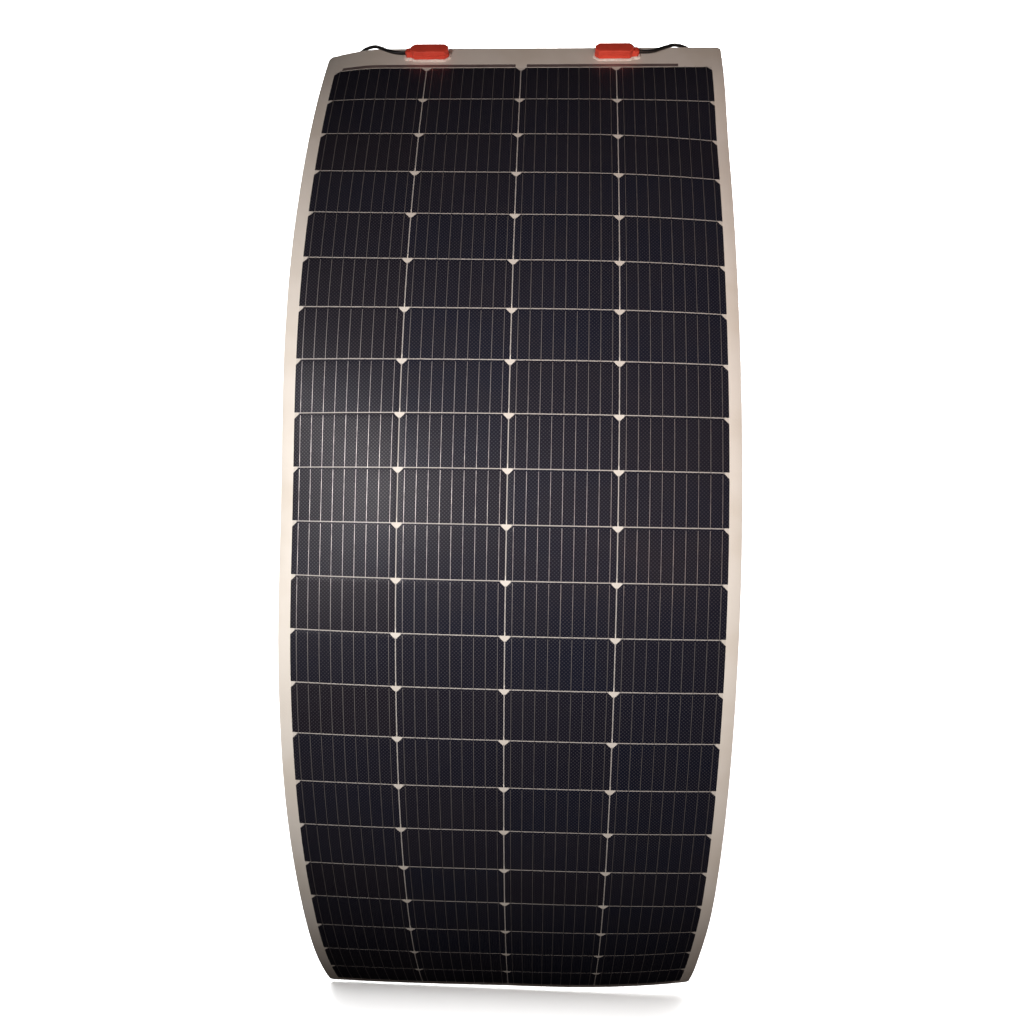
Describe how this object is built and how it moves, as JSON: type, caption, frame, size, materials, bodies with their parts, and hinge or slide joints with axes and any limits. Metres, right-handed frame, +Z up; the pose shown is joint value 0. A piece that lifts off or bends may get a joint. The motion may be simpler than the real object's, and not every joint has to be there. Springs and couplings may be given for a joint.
{
  "type": "flexible solar sheet",
  "caption": "Thin flexible solar sheet of dark half-cut cells in a white laminate, bowed front outwards, with red junction boxes and black leads at the top edge.",
  "frame": {"origin": "middle of the twelfth cell row's back face, at the sheet's centre line, where the sheet is bonded or held", "axes": "+X to the right seen from the front, +Y out of the back face, +Z up along the sheet at the origin"},
  "size_m": [0.71, 0.3658, 1.7876],
  "materials": {
    "back_sheet": "satin",
    "cells": "satin",
    "bus_strip": "satin",
    "box_red": "satin",
    "sealant": "satin",
    "diode": "satin",
    "cable": "matte",
    "connector": "satin"
  },
  "bodies": {
    "row_01": {"back_sheet_01": "back_sheet", "cell_row_01": "cells", "bus_strip_left": "bus_strip", "junction_box_base_left": "box_red", "junction_box_lid_left": "box_red", "sealant_bead_left": "sealant", "bypass_diode_left": "diode", "cable_rise_left": "cable", "bus_strip_right": "bus_strip", "junction_box_base_right": "box_red", "junction_box_lid_right": "box_red", "sealant_bead_right": "sealant", "bypass_diode_right": "diode", "cable_rise_right": "cable"},
    "row_02": {"back_sheet_02": "back_sheet", "cell_row_02": "cells"},
    "row_03": {"back_sheet_03": "back_sheet", "cell_row_03": "cells"},
    "row_04": {"back_sheet_04": "back_sheet", "cell_row_04": "cells"},
    "row_05": {"back_sheet_05": "back_sheet", "cell_row_05": "cells"},
    "row_06": {"back_sheet_06": "back_sheet", "cell_row_06": "cells"},
    "row_07": {"back_sheet_07": "back_sheet", "cell_row_07": "cells"},
    "row_08": {"back_sheet_08": "back_sheet", "cell_row_08": "cells"},
    "row_09": {"back_sheet_09": "back_sheet", "cell_row_09": "cells"},
    "row_10": {"back_sheet_10": "back_sheet", "cell_row_10": "cells"},
    "row_11": {"back_sheet_11": "back_sheet", "cell_row_11": "cells"},
    "row_12": {"back_sheet_12": "back_sheet", "cell_row_12": "cells"},
    "row_13": {"back_sheet_13": "back_sheet", "cell_row_13": "cells"},
    "row_14": {"back_sheet_14": "back_sheet", "cell_row_14": "cells"},
    "row_15": {"back_sheet_15": "back_sheet", "cell_row_15": "cells"},
    "row_16": {"back_sheet_16": "back_sheet", "cell_row_16": "cells"},
    "row_17": {"back_sheet_17": "back_sheet", "cell_row_17": "cells"},
    "row_18": {"back_sheet_18": "back_sheet", "cell_row_18": "cells"},
    "row_19": {"back_sheet_19": "back_sheet", "cell_row_19": "cells"},
    "row_20": {"back_sheet_20": "back_sheet", "cell_row_20": "cells"},
    "row_21": {"back_sheet_21": "back_sheet", "cell_row_21": "cells"},
    "row_22": {"back_sheet_22": "back_sheet", "cell_row_22": "cells"},
    "lead_left": {"cable_hang_left": "cable", "connector_left": "connector"},
    "lead_right": {"cable_hang_right": "cable", "connector_right": "connector"}
  },
  "joints": [
    {"name": "bow_upper", "type": "hinge", "parent": "row_12", "child": "row_11", "pos_m": [0, -0.00064, 0.04249], "axis": [-1, 0, 0], "range_deg": [-3.65, 1.28], "stiffness_Nm_per_rad": 32, "springref_deg": -4.63},
    {"name": "bend_row_10", "type": "hinge", "parent": "row_11", "child": "row_10", "pos_m": [0, 0.00478, 0.12731], "axis": [-1, 0, 0], "range_deg": [-3.56, 1.26], "stiffness_Nm_per_rad": 32, "springref_deg": -4.46},
    {"name": "bend_row_09", "type": "hinge", "parent": "row_10", "child": "row_09", "pos_m": [0, 0.01541, 0.21163], "axis": [-1, 0, 0], "range_deg": [-3.44, 1.22], "stiffness_Nm_per_rad": 32, "springref_deg": -4.14},
    {"name": "bend_row_08", "type": "hinge", "parent": "row_09", "child": "row_08", "pos_m": [0, 0.03105, 0.29516], "axis": [-1, 0, 0], "range_deg": [-3.32, 1.18], "stiffness_Nm_per_rad": 32, "springref_deg": -3.72},
    {"name": "bend_row_07", "type": "hinge", "parent": "row_08", "child": "row_07", "pos_m": [0, 0.05148, 0.37766], "axis": [-1, 0, 0], "range_deg": [-3.21, 1.14], "stiffness_Nm_per_rad": 32, "springref_deg": -3.22},
    {"name": "bend_row_06", "type": "hinge", "parent": "row_07", "child": "row_06", "pos_m": [0, 0.07647, 0.45889], "axis": [-1, 0, 0], "range_deg": [-3.09, 1.09], "stiffness_Nm_per_rad": 32, "springref_deg": -2.68},
    {"name": "bend_row_05", "type": "hinge", "parent": "row_06", "child": "row_05", "pos_m": [0, 0.10576, 0.53867], "axis": [-1, 0, 0], "range_deg": [-2.97, 1.05], "stiffness_Nm_per_rad": 32, "springref_deg": -2.13},
    {"name": "bend_row_04", "type": "hinge", "parent": "row_05", "child": "row_04", "pos_m": [0, 0.13914, 0.61684], "axis": [-1, 0, 0], "range_deg": [-2.86, 1.01], "stiffness_Nm_per_rad": 32, "springref_deg": -1.6},
    {"name": "bend_row_03", "type": "hinge", "parent": "row_04", "child": "row_03", "pos_m": [0, 0.17634, 0.69325], "axis": [-1, 0, 0], "range_deg": [-2.74, 0.97], "stiffness_Nm_per_rad": 32, "springref_deg": -1.11},
    {"name": "bend_row_02", "type": "hinge", "parent": "row_03", "child": "row_02", "pos_m": [0, 0.21713, 0.76782], "axis": [-1, 0, 0], "range_deg": [-2.62, 0.93], "stiffness_Nm_per_rad": 32, "springref_deg": -0.68},
    {"name": "bend_row_01", "type": "hinge", "parent": "row_02", "child": "row_01", "pos_m": [0, 0.26127, 0.84045], "axis": [-1, 0, 0], "range_deg": [-2.51, 0.89], "stiffness_Nm_per_rad": 32, "springref_deg": -0.33},
    {"name": "bow_lower", "type": "hinge", "parent": "row_12", "child": "row_13", "pos_m": [0, -0.00064, -0.04249], "axis": [1, 0, 0], "range_deg": [-3.77, 1.32], "stiffness_Nm_per_rad": 32, "springref_deg": 3.25},
    {"name": "bend_row_14", "type": "hinge", "parent": "row_13", "child": "row_14", "pos_m": [0, 0.00495, -0.12729], "axis": [1, 0, 0], "range_deg": [-3.9, 1.38], "stiffness_Nm_per_rad": 32, "springref_deg": 3.11},
    {"name": "bend_row_15", "type": "hinge", "parent": "row_14", "child": "row_15", "pos_m": [0, 0.01626, -0.21152], "axis": [1, 0, 0], "range_deg": [-4.02, 1.42], "stiffness_Nm_per_rad": 32, "springref_deg": 2.83},
    {"name": "bend_row_16", "type": "hinge", "parent": "row_15", "child": "row_16", "pos_m": [0, 0.03343, -0.29475], "axis": [1, 0, 0], "range_deg": [-4.14, 1.46], "stiffness_Nm_per_rad": 32, "springref_deg": 2.47},
    {"name": "bend_row_17", "type": "hinge", "parent": "row_16", "child": "row_17", "pos_m": [0, 0.05652, -0.37653], "axis": [1, 0, 0], "range_deg": [-4.25, 1.5], "stiffness_Nm_per_rad": 32, "springref_deg": 2.04},
    {"name": "bend_row_18", "type": "hinge", "parent": "row_17", "child": "row_18", "pos_m": [0, 0.08559, -0.45639], "axis": [1, 0, 0], "range_deg": [-4.37, 1.54], "stiffness_Nm_per_rad": 32, "springref_deg": 1.59},
    {"name": "bend_row_19", "type": "hinge", "parent": "row_18", "child": "row_19", "pos_m": [0, 0.12063, -0.53381], "axis": [1, 0, 0], "range_deg": [-4.49, 1.58], "stiffness_Nm_per_rad": 32, "springref_deg": 1.13},
    {"name": "bend_row_20", "type": "hinge", "parent": "row_19", "child": "row_20", "pos_m": [0, 0.16159, -0.60826], "axis": [1, 0, 0], "range_deg": [-4.6, 1.62], "stiffness_Nm_per_rad": 32, "springref_deg": 0.71},
    {"name": "bend_row_21", "type": "hinge", "parent": "row_20", "child": "row_21", "pos_m": [0, 0.20836, -0.67921], "axis": [1, 0, 0], "range_deg": [-4.72, 1.66], "stiffness_Nm_per_rad": 32, "springref_deg": 0.36},
    {"name": "bend_row_22", "type": "hinge", "parent": "row_21", "child": "row_22", "pos_m": [0, 0.26079, -0.74608], "axis": [1, 0, 0], "range_deg": [-4.83, 1.71], "stiffness_Nm_per_rad": 32, "springref_deg": 0.12},
    {"name": "lead_left_hang", "type": "hinge", "parent": "row_01", "child": "lead_left", "pos_m": [-0.313, 0.35373, 0.89], "axis": [1, 0, 0], "range_deg": [-33.88, 11.92]},
    {"name": "lead_right_hang", "type": "hinge", "parent": "row_01", "child": "lead_right", "pos_m": [0.32242, 0.35373, 0.89], "axis": [1, 0, 0], "range_deg": [-33.88, 11.92]}
  ],
  "couplings": [
    {"joint": "bend_row_10", "follows": "bow_upper", "ratio": 0.96817},
    {"joint": "bend_row_09", "follows": "bow_upper", "ratio": 0.93634},
    {"joint": "bend_row_08", "follows": "bow_upper", "ratio": 0.9045},
    {"joint": "bend_row_07", "follows": "bow_upper", "ratio": 0.87267},
    {"joint": "bend_row_06", "follows": "bow_upper", "ratio": 0.84084},
    {"joint": "bend_row_05", "follows": "bow_upper", "ratio": 0.80901},
    {"joint": "bend_row_04", "follows": "bow_upper", "ratio": 0.77717},
    {"joint": "bend_row_03", "follows": "bow_upper", "ratio": 0.74534},
    {"joint": "bend_row_02", "follows": "bow_upper", "ratio": 0.71351},
    {"joint": "bend_row_01", "follows": "bow_upper", "ratio": 0.68168},
    {"joint": "bend_row_14", "follows": "bow_lower", "ratio": 1.0309},
    {"joint": "bend_row_15", "follows": "bow_lower", "ratio": 1.0617},
    {"joint": "bend_row_16", "follows": "bow_lower", "ratio": 1.0925},
    {"joint": "bend_row_17", "follows": "bow_lower", "ratio": 1.1234},
    {"joint": "bend_row_18", "follows": "bow_lower", "ratio": 1.1542},
    {"joint": "bend_row_19", "follows": "bow_lower", "ratio": 1.1851},
    {"joint": "bend_row_20", "follows": "bow_lower", "ratio": 1.216},
    {"joint": "bend_row_21", "follows": "bow_lower", "ratio": 1.2468},
    {"joint": "bend_row_22", "follows": "bow_lower", "ratio": 1.2776},
    {"joint": "lead_left_hang", "follows": "bow_upper", "ratio": 9.2492},
    {"joint": "lead_right_hang", "follows": "bow_upper", "ratio": 9.2492}
  ]
}
